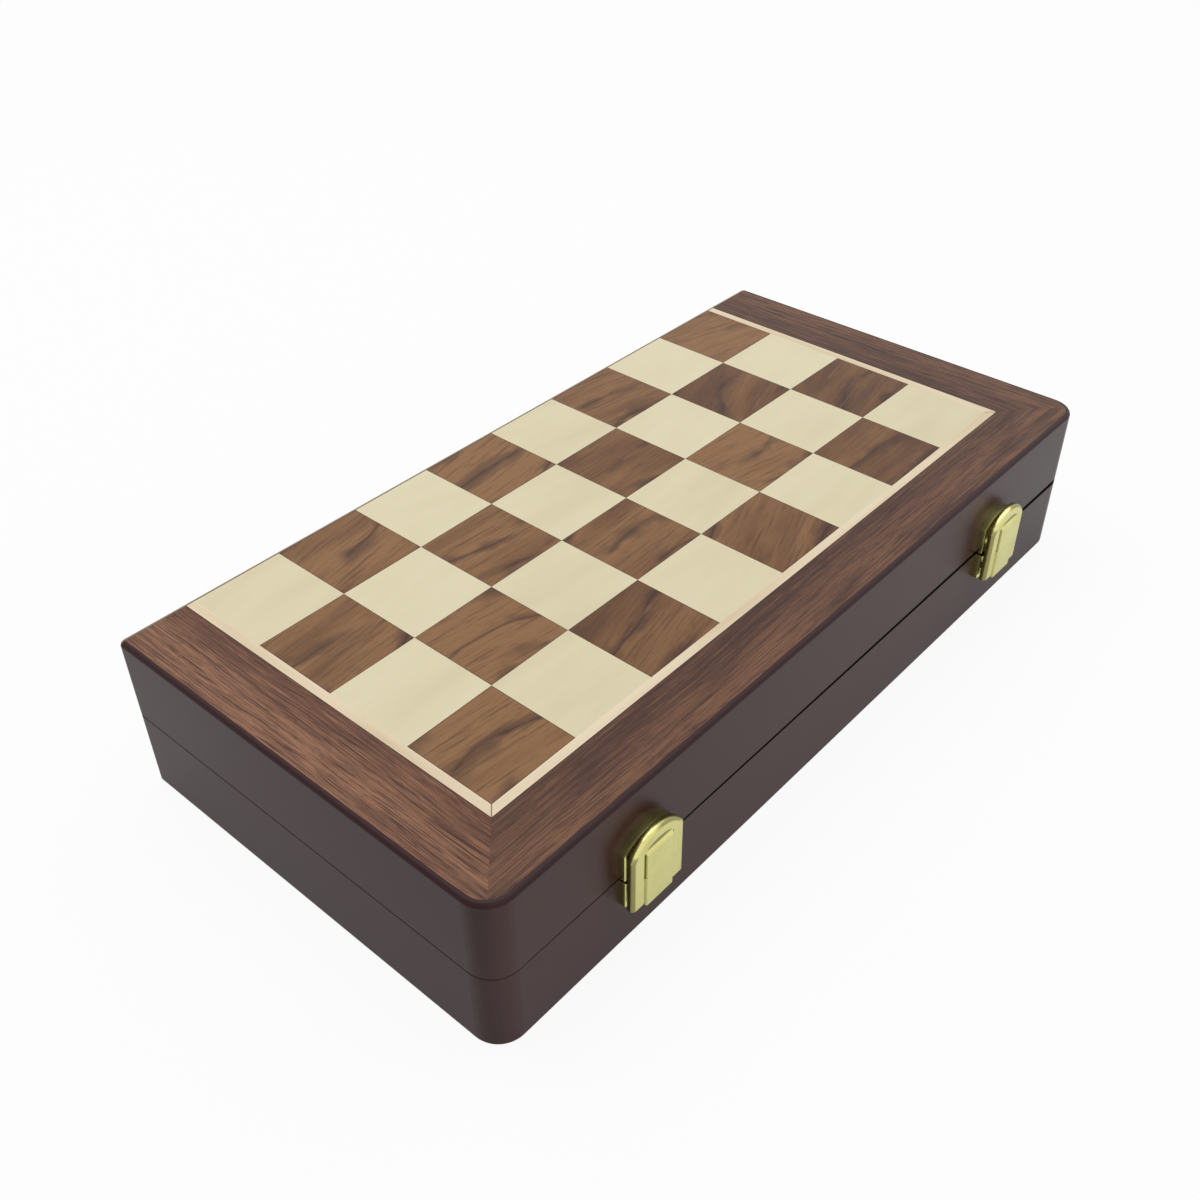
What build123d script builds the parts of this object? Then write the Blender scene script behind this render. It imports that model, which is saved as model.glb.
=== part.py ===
from build123d import *
import math
import os

# Folding chess board, closed and lying flat: two shallow wooden halves hinged along one long edge,
# with half of the playing field inlaid in the outer face of each half.
# Millimetres. X runs along the case, the latches face -Y, the hinges are at +Y, Z is up.
# The origin is on the floor, at the middle of everything that the outline holds.

# Playing field and case
square = 31.1
squares_along = 8
squares_across = 4
stringing_width = 3.0
end_border = 20.95
front_border = 19.3
half_height = 28.3
wall_thickness = 9.0
corner_radius = 9.0
edge_round = 1.5
lip_flat = 0.15
hinge_corner_step = 0.5
seam_chamfer = 0.3
veneer_thickness = 1.0
panel_thickness = 4.0
inlay_gap = 0.05

# Inside of each half
lining_thickness = 1.0
lining_gap = 0.3
divider_thickness = 3.0
divider_gap = 0.1
divider_headroom = 2.0
bay_depth = 72.0
bay_count = 8

# Butt hinges
hinge_spacing = 200.0
leaf_length = 25.0
leaf_width = 7.0
leaf_thickness = 0.9
leaf_recess = 0.05
leaf_side_gap = 0.1
knuckle_count = 5
knuckle_gap = 0.1
knuckle_wall = 0.9
hinge_pin_radius = 0.75
pin_fit = 0.05
pin_head_length = 0.5
pin_head_overhang = 0.35
barrel_clearance = 0.2
hinge_screw_spacing = 14.0
hinge_screw_setback = 4.4

# Wood screws
screw_radius = 0.8
screw_length = 7.0
screw_head_radius = 1.5
screw_head_height = 0.7
screw_hole_gap = 0.05
slot_width = 0.35
slot_depth = 0.35

# Case latches, measured from the front face of the case and from the seam
latch_spacing = 188.0
latch_sheet = 0.6
plate_depth = 2.3
plate_edge_break = 0.35
plate_seam_gap = 0.5
strike_width = 19.8
strike_side_rise = 9.75
strike_arch_rise = 13.1
hook_width = 10.0
hook_reach = 1.2
hook_height = 0.8
hook_rise = 3.5
latch_plate_width = 19.4
latch_plate_height = 9.6
window_width = 12.2
window_rise = 5.5
latch_pin_radius = 0.75
latch_pin_offset = 3.15
latch_pin_drop = 8.9
latch_pin_proud = 0.2
ear_wall = 0.5
curl_wall = 0.65
curl_span = 10.8
spring_span = 5.4
spring_side_gap = 0.35

# Latch lever
lever_sheet = 0.9
lever_stand_off = 2.3
lever_width = 21.0
lever_side_drop = 9.4
lever_side_rise = 9.55
lever_arch_rise = 15.9
lever_rim_depth = 2.25
lever_bend = 1.2
tongue_width = 11.0
tongue_drop = 10.35
panel_raise = 0.5
panel_top = 10.2
panel_edge_break = 0.45
nose_width = 9.0
nose_clearance = 0.2
nose_height = 1.0
nose_gap = 0.4

# Latch spring
spring_wire_radius = 0.2
spring_coil_radius = 1.15
spring_turns = 4.5
spring_leg_gap = 0.15

# Sizes that follow from the ones above
lip = edge_round + lip_flat
hinge_corner_radius = edge_round + hinge_corner_step
field_length = squares_along * square
field_width = squares_across * square
case_length = field_length + 2 * (stringing_width + end_border + lip)
case_width = field_width + stringing_width + front_border + 2 * lip
deck = veneer_thickness + panel_thickness
seam = half_height
knuckle_radius = hinge_pin_radius + pin_fit + knuckle_wall
ear_radius = latch_pin_radius + pin_fit + ear_wall
curl_radius = latch_pin_radius + pin_fit + curl_wall
lever_inner = plate_depth + lever_stand_off
lever_outer = lever_inner + lever_sheet
latch_projection = lever_outer + panel_raise
case_y = (latch_projection - knuckle_radius) / 2

x_end = case_length / 2
y_front = case_y - case_width / 2
y_back = case_y + case_width / 2
cavity_x = x_end - wall_thickness
cavity_front = y_front + wall_thickness
cavity_back = y_back - wall_thickness
field_x = field_length / 2
field_back = y_back - lip
field_front = field_back - field_width
divider_base = deck + lining_thickness
divider_top = half_height - divider_headroom
bay_width = (2 * cavity_x - (bay_count - 1) * divider_thickness) / bay_count


def block(x0, x1, y0, y1, z0, z1):
    """A box between two opposite corners."""
    size = Box(x1 - x0, y1 - y0, z1 - z0)
    return Pos((x0 + x1) / 2, (y0 + y1) / 2, (z0 + z1) / 2) * size


def prism(points, z0, z1):
    """An upright prism on a polygon."""
    face = make_face(Polyline(*[(x, y, z0) for x, y in points], close=True))
    return extrude(face, z1 - z0, dir=(0, 0, 1))


def rod(radius, x0, x1, y=0.0, z=0.0):
    """A round bar along X."""
    return Pos((x0 + x1) / 2, y, z) * Rot(0, 90, 0) * Cylinder(radius, x1 - x0)


def outline(inset):
    """The case's plan, taken in all round: large front corners, small hinge corners."""
    plan = Pos(0, case_y) * Rectangle(case_length - 2 * inset, case_width - 2 * inset)
    radii = (max(corner_radius - inset, 0), max(hinge_corner_radius - inset, 0))
    for row, radius in zip((0, -1), radii):
        if radius > 0:
            plan = fillet(plan.vertices().group_by(Axis.Y)[row], radius)
    return plan


def flipped(shape):
    """The same piece in the lid: a mirror image across the seam."""
    return mirror(shape, about=Plane.XY.offset(seam))


def save(node, shapes):
    """Writes one piece, or a group of separate pieces, as a STEP file."""
    solids = [solid for shape in shapes for solid in shape.solids()]
    whole = solids[0] if len(solids) == 1 else Compound(children=solids)
    whole.label = node
    export_step(whole, f"parts/{node}.step")


# Fasteners
def slotted(head, top_z):
    """Cuts a crossed driver recess in the top of a screw head."""
    for turn in (0, 90):
        bar = Box(2 * screw_head_radius * 0.62, slot_width, 2 * slot_depth)
        head -= Pos(0, 0, top_z) * Rot(0, 0, turn) * bar
    return head


def flat_screw():
    """A countersunk wood screw that points down, with the top of its head at the origin."""
    head = Pos(0, 0, -screw_head_height / 2) * Cone(screw_radius, screw_head_radius, screw_head_height)
    shank = Pos(0, 0, -screw_length / 2) * Cylinder(screw_radius, screw_length)
    return slotted(head + shank, 0)


def pan_screw():
    """A round-headed wood screw along +Y, with the underside of its head at the origin."""
    head = Pos(0, 0, screw_head_height / 2) * Cylinder(screw_head_radius, screw_head_height)
    head = fillet(head.edges().group_by(Axis.Z)[-1], screw_head_height / 2)
    shank = Pos(0, 0, -screw_length / 2) * Cylinder(screw_radius, screw_length)
    return Rot(90, 0, 0) * slotted(head + shank, screw_head_height)


def screw_bore(length):
    """The hole for a screw's shank, going down from the origin."""
    return Pos(0, 0, -length / 2) * Cylinder(screw_radius + screw_hole_gap, length)


hinge_centres = (-hinge_spacing / 2, hinge_spacing / 2)
latch_centres = (-latch_spacing / 2, latch_spacing / 2)
leaf_top = seam - leaf_recess
leaf_floor = leaf_top - leaf_thickness
hinge_screws_x = (-hinge_screw_spacing / 2, hinge_screw_spacing / 2)
latch_screw_x = (latch_plate_width + window_width) / 4 - latch_sheet / 2
latch_screw_z = -(plate_seam_gap + latch_plate_height - window_rise) / 2
strike_screw_x = (strike_width + hook_width) / 4
strike_screw_z = (plate_seam_gap + strike_side_rise) / 2
latch_screw_spots = [(-latch_screw_x, latch_screw_z), (latch_screw_x, latch_screw_z)]
strike_screw_spots = [(-strike_screw_x, strike_screw_z), (strike_screw_x, strike_screw_z)]


# Wooden case half, modelled as the lower one
def wall_ring():
    """The four walls before their mitres are cut: a rim with a rebate for the playing deck."""
    body = extrude(outline(0), half_height)
    body = fillet(body.edges().group_by(Axis.Z)[0], edge_round)
    body = chamfer(body.edges().group_by(Axis.Z)[-1], seam_chamfer)
    body -= extrude(outline(lip), deck)
    body -= block(-cavity_x, cavity_x, cavity_front, cavity_back, 0, half_height)
    barrel_half = leaf_length / 2 + pin_head_length + barrel_clearance
    leaf_half = leaf_length / 2 + leaf_side_gap
    for x in hinge_centres:
        body -= rod(knuckle_radius + barrel_clearance, x - barrel_half, x + barrel_half, y_back, seam)
        body -= block(x - leaf_half, x + leaf_half, y_back - leaf_width - leaf_side_gap, y_back,
                      leaf_floor, seam)
        for dx in hinge_screws_x:
            body -= Pos(x + dx, y_back - hinge_screw_setback, leaf_floor) * screw_bore(screw_length)
    return body


def with_latch_bores(wall, spots):
    """Adds the screw holes for both latches to a front wall."""
    for x in latch_centres:
        for dx, dz in spots:
            hole = Rot(90, 0, 0) * screw_bore(screw_length - plate_depth + screw_hole_gap)
            wall -= Pos(x + dx, y_front, seam + dz) * hole
    return wall


def mitred(ring, side):
    """One wall of the ring, cut at 45 degrees in its corners."""
    out_x, in_x = x_end, cavity_x
    plans = {
        "front": [(-out_x, y_front), (out_x, y_front), (in_x, cavity_front), (-in_x, cavity_front)],
        "back": [(-out_x, y_back), (out_x, y_back), (in_x, cavity_back), (-in_x, cavity_back)],
        "left": [(-out_x, y_front), (-out_x, y_back), (-in_x, cavity_back), (-in_x, cavity_front)],
        "right": [(out_x, y_front), (out_x, y_back), (in_x, cavity_back), (in_x, cavity_front)],
    }
    return ring & prism(plans[side], 0, half_height)


def panel():
    """The plywood that closes the half and carries the inlay."""
    return Pos(0, 0, veneer_thickness) * extrude(outline(lip + inlay_gap), panel_thickness)


def inlay(points):
    """One piece of veneer, flush with the lip of the walls."""
    return prism(points, 0, veneer_thickness)


def squares(parity):
    """Every second square of the half field, each one a separate piece of veneer."""
    tiles = []
    for i in range(squares_along):
        for j in range(squares_across):
            if (i + j) % 2 == parity:
                x0 = -field_x + i * square
                y1 = field_back - j * square
                tiles.append(block(x0, x0 + square, y1 - square, y1, 0, veneer_thickness))
    return tiles


def strip(side, inner_x, inner_y, outer_x, outer_y, back):
    """A strip of an edging that runs round three sides of the field, mitred at the front."""
    plans = {
        "left": [(-outer_x, outer_y), (-outer_x, back), (-inner_x, back), (-inner_x, inner_y)],
        "right": [(outer_x, outer_y), (outer_x, back), (inner_x, back), (inner_x, inner_y)],
        "front": [(-outer_x, outer_y), (outer_x, outer_y), (inner_x, inner_y), (-inner_x, inner_y)],
    }
    return inlay(plans[side])


def stringing(side):
    """A pale line beside the squares."""
    return strip(side, field_x, field_front, field_x + stringing_width,
                 field_front - stringing_width, field_back)


def border(side):
    """A broad dark strip between the pale line and the lip, rounded with the case's corner."""
    whole = strip(side, field_x + stringing_width, field_front - stringing_width,
                  x_end, y_front, y_back)
    reach = outline(lip + inlay_gap)
    return whole & extrude(reach, veneer_thickness)


def lining():
    """The cloth on the floor of the half, before it is softened."""
    return block(-cavity_x + lining_gap, cavity_x - lining_gap, cavity_front + lining_gap,
                 cavity_back - lining_gap, deck, deck + lining_thickness)


long_divider_front = cavity_front + bay_depth


def long_divider():
    """The divider between the bays and the trough."""
    return block(-cavity_x + divider_gap, cavity_x - divider_gap, long_divider_front,
                 long_divider_front + divider_thickness, divider_base, divider_top)


def bay_dividers():
    """The cross dividers between the bays."""
    pieces = []
    for k in range(1, bay_count):
        x0 = -cavity_x + k * bay_width + (k - 1) * divider_thickness
        pieces.append(block(x0, x0 + divider_thickness, cavity_front + divider_gap,
                            long_divider_front - divider_gap, divider_base, divider_top))
    return pieces


# Hinges
knuckle_length = (leaf_length - (knuckle_count - 1) * knuckle_gap) / knuckle_count


def knuckle_span(k):
    """The start and end of a knuckle along the barrel, from the hinge's centre."""
    start = -leaf_length / 2 + k * (knuckle_length + knuckle_gap)
    return start, start + knuckle_length


def hinge_leaf(x, own):
    """The lower leaf of a hinge at x, with the knuckles whose numbers have the parity own."""
    plate = block(-leaf_length / 2, leaf_length / 2, -leaf_width, 0,
                  -leaf_recess - leaf_thickness, -leaf_recess)
    for k in range(knuckle_count):
        start, end = knuckle_span(k)
        if k % 2 == own:
            plate += rod(knuckle_radius, start, end)
        else:
            plate -= rod(knuckle_radius + barrel_clearance, start - knuckle_gap, end + knuckle_gap)
    plate -= rod(hinge_pin_radius + pin_fit, -leaf_length, leaf_length)
    sink = Pos(0, 0, -screw_head_height / 2) * Cone(
        screw_radius + screw_hole_gap, screw_head_radius + screw_hole_gap, screw_head_height)
    for dx in hinge_screws_x:
        seat = Pos(dx, -hinge_screw_setback, -leaf_recess)
        plate -= seat * sink
        plate -= seat * screw_bore(2 * leaf_thickness)
    return Pos(x, y_back, seam) * plate


def hinge_pin(x):
    """The wire that the knuckles turn on, with a small head on each end."""
    half = leaf_length / 2
    pin = rod(hinge_pin_radius, -half - screw_hole_gap, half + screw_hole_gap)
    for start in (-half - pin_head_length, half + screw_hole_gap):
        pin += rod(hinge_pin_radius + pin_head_overhang, start,
                   start + pin_head_length - screw_hole_gap)
    return Pos(x, y_back, seam) * pin


def hinge_screws():
    """The screws of both lower leaves."""
    return [Pos(x + dx, y_back - hinge_screw_setback, leaf_top) * flat_screw()
            for x in hinge_centres for dx in hinge_screws_x]


# Latches. Each is modelled with the case's front face at Y = 0 and the seam at Z = 0.
def arched(width, foot, side_rise, arch_rise, inset=0.0):
    """An outline in X and Z with straight sides and an arc on top, drawn in by an inset on every side."""
    rise = arch_rise - side_rise
    arch_radius = ((width / 2) ** 2 + rise ** 2) / (2 * rise)
    centre = arch_rise - arch_radius
    side, radius = width / 2 - inset, arch_radius - inset
    shoulder = centre + math.sqrt(radius ** 2 - side ** 2)
    top = ThreePointArc((-side, shoulder), (0, centre + radius), (side, shoulder))
    rest = Polyline((side, shoulder), (side, foot + inset), (-side, foot + inset), (-side, shoulder))
    return make_face(Plane.XZ * Curve(top.edges() + rest.edges()))


def plate(outline, front, back):
    """An outline in X and Z filled from one Y to another further from the case."""
    return Pos(0, back, 0) * extrude(outline, back - front, dir=(0, -1, 0))


def hollowed(tray, hollow):
    """A pressed plate: a shallow tray, open towards the case, with a broken front edge."""
    return chamfer(tray.faces().sort_by(Axis.Y)[0].edges(), plate_edge_break) - hollow


def drilled(tray, spots):
    """Adds the screw holes of a latch plate."""
    for dx, dz in spots:
        tray -= Pos(dx, 0, dz) * Rot(90, 0, 0) * Cylinder(screw_radius + screw_hole_gap, 4 * plate_depth)
    return tray


def strike_plate():
    """The upper plate, arched on top, with the hook that the lever catches."""
    shape = (strike_width, plate_seam_gap, strike_side_rise, strike_arch_rise)
    tray = hollowed(plate(arched(*shape), -plate_depth, 0),
                    plate(arched(*shape, latch_sheet), -plate_depth + latch_sheet, 0))
    hook_z = plate_seam_gap + hook_rise
    tray += block(-hook_width / 2, hook_width / 2, -plate_depth - hook_reach,
                  -plate_depth + latch_sheet, hook_z, hook_z + hook_height)
    return drilled(tray, strike_screw_spots)


def latch_plate():
    """The lower plate: a window with an ear bent out on each side of it to hold the pin."""
    side, bottom = latch_plate_width / 2, -plate_seam_gap - latch_plate_height
    tray = hollowed(block(-side, side, -plate_depth, 0, bottom, -plate_seam_gap),
                    block(-side + latch_sheet, side - latch_sheet, -plate_depth + latch_sheet, 0,
                          bottom + latch_sheet, -plate_seam_gap - latch_sheet))
    tray -= block(-window_width / 2, window_width / 2, -2 * plate_depth, 0,
                  bottom - latch_sheet, bottom + window_rise)
    for side in (-1, 1):
        near, far = sorted((side * window_width / 2, side * (window_width / 2 + latch_sheet)))
        ear = rod(ear_radius, near, far, -latch_pin_offset, -latch_pin_drop)
        ear += block(near, far, -latch_pin_offset, -plate_depth + latch_sheet,
                     -latch_pin_drop - ear_radius, -latch_pin_drop + ear_radius)
        tray += ear
    tray -= rod(latch_pin_radius + pin_fit, -window_width, window_width,
                -latch_pin_offset, -latch_pin_drop)
    return drilled(tray, latch_screw_spots)


def latch_pin():
    """The plain pin through both ears, a little proud of each."""
    reach = window_width / 2 + latch_sheet + latch_pin_proud
    return rod(latch_pin_radius, -reach, reach, -latch_pin_offset, -latch_pin_drop)


def lever_shell():
    """The lever's sheet: an arched face with its edge bent back along the sides and the arch."""
    shape = (lever_width, -lever_side_drop, lever_side_rise, lever_arch_rise)
    shell = plate(arched(*shape), -lever_outer, lever_rim_depth - lever_outer)
    bent = shell.faces().sort_by(Axis.Y)[0].edges().sort_by(Axis.Z)[1:]
    shell = fillet(bent, lever_bend)
    inside = plate(arched(*shape, lever_sheet), -lever_inner, 0)
    open_foot = block(-lever_width / 2 + lever_sheet, lever_width / 2 - lever_sheet, -lever_inner, 0,
                      -lever_side_drop, -lever_side_drop + 2 * lever_sheet)
    return shell - inside - open_foot


def latch_lever():
    """The sprung lever, closed: the face with its rim and panel, the tongue, the nose and the curls."""
    lever = lever_shell()
    lever += block(-tongue_width / 2, tongue_width / 2, -lever_outer, -lever_inner,
                   -tongue_drop, -lever_side_drop + lever_sheet)
    raised = block(-tongue_width / 2, tongue_width / 2, -lever_outer - panel_raise, -lever_inner,
                   -tongue_drop, panel_top)
    raised = chamfer(raised.faces().sort_by(Axis.Y)[0].edges(), panel_edge_break)
    lever += raised
    nose_z = plate_seam_gap + hook_rise + hook_height + nose_gap
    nose_tip = plate_depth + hook_reach + nose_clearance
    lever += block(-nose_width / 2, nose_width / 2, -lever_inner - latch_sheet / 2, -nose_tip,
                   nose_z, nose_z + nose_height)
    for side in (-1, 1):
        near, far = sorted((side * spring_span / 2, side * curl_span / 2))
        lever += rod(curl_radius, near, far, -latch_pin_offset, -latch_pin_drop)
        lever += block(near, far, -lever_inner - latch_sheet / 2, -latch_pin_offset,
                       -latch_pin_drop + curl_radius - curl_wall, -latch_pin_drop + curl_radius)
    bore = latch_pin_radius + pin_fit
    return lever - rod(bore, -window_width, window_width, -latch_pin_offset, -latch_pin_drop)


def latch_spring():
    """The coil on the pin. Both legs leave it upwards: one ends under the plate, one behind the lever."""
    run = spring_span - 2 * (spring_side_gap + spring_wire_radius)
    coil = Helix(run / spring_turns, run, spring_coil_radius)
    leg = window_rise - plate_seam_gap - latch_plate_height + latch_pin_drop - spring_leg_gap
    first, last = coil @ 0, coil @ 1
    path = Line(first - (coil % 0) * leg, first) + coil + Line(last, last + (coil % 1) * leg)
    wire = sweep(Plane(path @ 0, z_dir=path % 0) * Circle(spring_wire_radius), path=path)
    seat = Plane((run / 2, -latch_pin_offset, -latch_pin_drop), x_dir=(0, 1, 0), z_dir=(-1, 0, 0))
    return seat.location * wire


def plate_screws(spots):
    """The screws of one plate."""
    return [Pos(dx, -plate_depth, dz) * pan_screw() for dx, dz in spots]


def on_case(x, shape):
    """Moves a latch piece from its own place to a latch centre on the case."""
    return Pos(x, y_front, seam) * shape


# Write every piece
os.makedirs("parts", exist_ok=True)

ring = wall_ring()
for half in ("base", "lid"):
    place = flipped if half == "lid" else (lambda shape: shape)
    spots = {"base": latch_screw_spots, "lid": [(dx, -dz) for dx, dz in strike_screw_spots]}[half]
    front = with_latch_bores(mitred(ring, "front"), spots)
    save(f"{half}_front_wall", [place(front)])
    for side in ("back", "left", "right"):
        save(f"{half}_{side}_wall", [place(mitred(ring, side))])
    save(f"{half}_panel", [place(panel())])
    light = 0 if half == "lid" else 1
    save(f"{half}_light_squares", [place(tile) for tile in squares(light)])
    save(f"{half}_dark_squares", [place(tile) for tile in squares(1 - light)])
    for side in ("left", "right", "front"):
        save(f"{half}_{side}_stringing", [place(stringing(side))])
        save(f"{half}_{side}_border", [place(border(side))])
    save(f"{half}_lining", [place(lining())])
    save(f"{half}_long_divider", [place(long_divider())])
    save(f"{half}_bay_dividers", [place(piece) for piece in bay_dividers()])
    own_knuckles = 1 if half == "lid" else 0
    for name, x in zip(("left", "right"), hinge_centres):
        save(f"{half}_{name}_hinge_leaf", [place(hinge_leaf(x, own_knuckles))])
    save(f"{half}_hinge_screws", [place(screw) for screw in hinge_screws()])

for name, x in zip(("left", "right"), hinge_centres):
    save(f"{name}_hinge_pin", [hinge_pin(x)])
for name, x in zip(("left", "right"), latch_centres):
    save(f"{name}_strike_plate", [on_case(x, strike_plate())])
    save(f"{name}_latch_plate", [on_case(x, latch_plate())])
    save(f"{name}_latch_pin", [on_case(x, latch_pin())])
    save(f"{name}_latch_lever", [on_case(x, latch_lever())])
    save(f"{name}_latch_spring", [on_case(x, latch_spring())])
save("strike_plate_screws",
     [on_case(x, screw) for x in latch_centres for screw in plate_screws(strike_screw_spots)])
save("latch_plate_screws",
     [on_case(x, screw) for x in latch_centres for screw in plate_screws(latch_screw_spots)])
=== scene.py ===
"""The looks of a folding chess board: wood, lacquer, brass and felt around its fixed frame.

The case keeps its solid walls, panels, veneers, hinges and screws, which get procedural finishes here.
The cloth linings and the pressed levers of the latches are new meshes. Lengths are in metres, unless
a name ends in _mm or a docstring says millimetres.
"""
import logging
import math
from dataclasses import dataclass
from enum import Enum

import bpy
import numpy as np
from mathutils import Matrix, Vector


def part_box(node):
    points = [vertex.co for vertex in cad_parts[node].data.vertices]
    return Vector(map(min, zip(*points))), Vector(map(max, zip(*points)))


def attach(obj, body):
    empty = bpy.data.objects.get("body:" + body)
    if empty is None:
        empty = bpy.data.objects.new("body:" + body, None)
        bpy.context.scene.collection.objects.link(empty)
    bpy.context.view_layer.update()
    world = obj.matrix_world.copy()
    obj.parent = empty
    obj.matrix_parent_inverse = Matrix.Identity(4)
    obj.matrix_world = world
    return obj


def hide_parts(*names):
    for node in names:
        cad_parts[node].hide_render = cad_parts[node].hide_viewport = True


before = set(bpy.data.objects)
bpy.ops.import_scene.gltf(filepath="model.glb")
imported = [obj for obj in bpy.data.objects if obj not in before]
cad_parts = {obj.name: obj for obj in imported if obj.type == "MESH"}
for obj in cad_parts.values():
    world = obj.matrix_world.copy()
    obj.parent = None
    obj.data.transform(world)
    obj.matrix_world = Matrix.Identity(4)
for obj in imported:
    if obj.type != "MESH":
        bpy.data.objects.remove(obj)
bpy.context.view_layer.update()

log = logging.getLogger("chess_board")

MM = 0.001
SQUARES_ALONG = 8

Socket = bpy.types.NodeSocket
Value = float | tuple[float, ...] | Socket
Colour = tuple[float, float, float, float]


def srgb(red: int, green: int, blue: int) -> Colour:
    """Turns a colour as a screen shows it into the linear values that a shader takes.

    Args:
        red: Red from 0 to 255.
        green: Green from 0 to 255.
        blue: Blue from 0 to 255.

    Returns:
        The linear red, green and blue, and an alpha of one.
    """
    shown = np.array([red, green, blue]) / 255
    linear = np.where(shown <= 0.04045, shown / 12.92, ((shown + 0.055) / 1.055) ** 2.4)
    return (*linear.tolist(), 1.0)


class Half(Enum):
    """The two halves of the case, by the prefix of their nodes."""

    BASE = "base"
    LID = "lid"


class Grain(Enum):
    """The way that the fibres of a piece run, as a turn about Z that brings them to X."""

    ALONG_X = 0.0
    ALONG_Y = math.pi / 2


class Graph:
    """The node tree of a material or a world, built by calls that each return an output."""

    def __init__(self, owner: bpy.types.Material | bpy.types.World) -> None:
        """Empties the owner's tree.

        Args:
            owner: The new material or world that the tree belongs to.
        """
        self.owner = owner
        owner.use_nodes = True
        self.tree = owner.node_tree
        self.tree.nodes.clear()

    def node(self, kind: str, inputs: dict[str | int, Value], **settings: object) -> bpy.types.Node:
        """Adds a node, sets its plain inputs and links the others.

        Args:
            kind: The node's type, without the ShaderNode in front.
            inputs: A number, colour or output for each input, by name or index.
            **settings: The node's own settings.

        Returns:
            The node.
        """
        made = self.tree.nodes.new("ShaderNode" + kind)
        for key, value in settings.items():
            setattr(made, key, value)
        for key, value in inputs.items():
            if isinstance(value, Socket):
                self.tree.links.new(value, made.inputs[key])
            else:
                made.inputs[key].default_value = value
        return made

    def place_mm(self) -> Socket:
        """The point's place on the object, in millimetres."""
        coordinates = self.node("TexCoord", {}).outputs["Object"]
        return self.node("Mapping", {"Vector": coordinates, "Scale": (1 / MM, 1 / MM, 1 / MM)}).outputs[0]

    def mapped(self, vector: Socket, turn: float = 0.0, scale: tuple[float, ...] = (1, 1, 1),
               move: tuple[float, ...] = (0, 0, 0)) -> Socket:
        """A vector that is scaled, turned about Z and moved."""
        return self.node("Mapping", {"Vector": vector, "Scale": scale, "Rotation": (0, 0, turn),
                                     "Location": move}).outputs[0]

    def math(self, operation: str, *values: Value) -> Socket:
        """The result of a sum on one, two or three numbers."""
        return self.node("Math", dict(enumerate(values)), operation=operation).outputs[0]

    def vector(self, operation: str, first: Value, second: Value) -> Socket:
        """The result of a sum on two vectors."""
        return self.node("VectorMath", {0: first, 1: second}, operation=operation).outputs[0]

    def axes(self, vector: Socket) -> list[Socket]:
        """The three numbers of a vector."""
        return list(self.node("SeparateXYZ", {0: vector}).outputs)

    def joined(self, x: Value, y: Value, z: Value) -> Socket:
        """A vector made of three numbers."""
        return self.node("CombineXYZ", {0: x, 1: y, 2: z}).outputs[0]

    def noise(self, vector: Socket, scale: float, detail: float = 2.0, roughness: float = 0.5,
              distortion: float = 0.0) -> Socket:
        """Smooth noise from 0 to 1, with its scale in waves per millimetre."""
        return self.node("TexNoise", {"Vector": vector, "Scale": scale, "Detail": detail,
                                      "Roughness": roughness, "Distortion": distortion}).outputs[0]

    def along_grain(self, place: Socket, grain: Grain, seed: float) -> Socket:
        """A place turned so that the fibres run along X, in a part of the pattern that the seed picks."""
        return self.mapped(place, turn=grain.value, move=(seed, 3 * seed, 0))

    def streaks(self, place: Socket, run: float, across: float, detail: float = 2.0,
                roughness: float = 0.5) -> Socket:
        """Noise with its own waves per millimetre along the fibres and across them."""
        return self.noise(self.mapped(place, scale=(run, across, 1)), 1.0, detail, roughness)

    def ease(self, value: Socket, low: float, high: float, start: float = 0.0, end: float = 1.0) -> Socket:
        """A smooth climb from start to end as the value goes from low to high."""
        return self.node("MapRange", {0: value, 1: low, 2: high, 3: start, 4: end},
                         interpolation_type="SMOOTHSTEP").outputs[0]

    def mix(self, amount: Value, first: Value, second: Value) -> Socket:
        """Two colours mixed by an amount from 0 to 1."""
        return self.node("Mix", {0: amount, 6: first, 7: second}, data_type="RGBA").outputs[2]

    def ramp(self, value: Socket, stops: list[tuple[float, Colour]]) -> Socket:
        """A colour that follows a value through the stops given."""
        made = self.node("ValToRGB", {0: value})
        elements = made.color_ramp.elements
        while len(elements) < len(stops):
            elements.new(0.5)
        for element, (position, colour) in zip(elements, stops):
            element.position, element.color = position, colour
        return made.outputs[0]

    def bump(self, height: Socket, depth_mm: float) -> Socket:
        """A surface direction that follows a height from 0 to 1 over a depth."""
        return self.node("Bump", {"Height": height, "Distance": depth_mm * MM, "Strength": 1.0}).outputs[0]

    def finish(self, **inputs: Value) -> bpy.types.Material:
        """Closes the tree with a Principled shader.

        Args:
            **inputs: The shader's inputs, with underscores for spaces.

        Returns:
            The finished material.
        """
        named = {key.replace("_", " "): value for key, value in inputs.items()}
        shader = self.node("BsdfPrincipled", named)
        self.node("OutputMaterial", {"Surface": shader.outputs[0]})
        return self.owner


@dataclass(frozen=True)
class WoodTones:
    """The colours of one kind of wood, from its palest to its darkest."""

    pale: Colour
    middle: Colour
    deep: Colour
    vein: Colour


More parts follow.
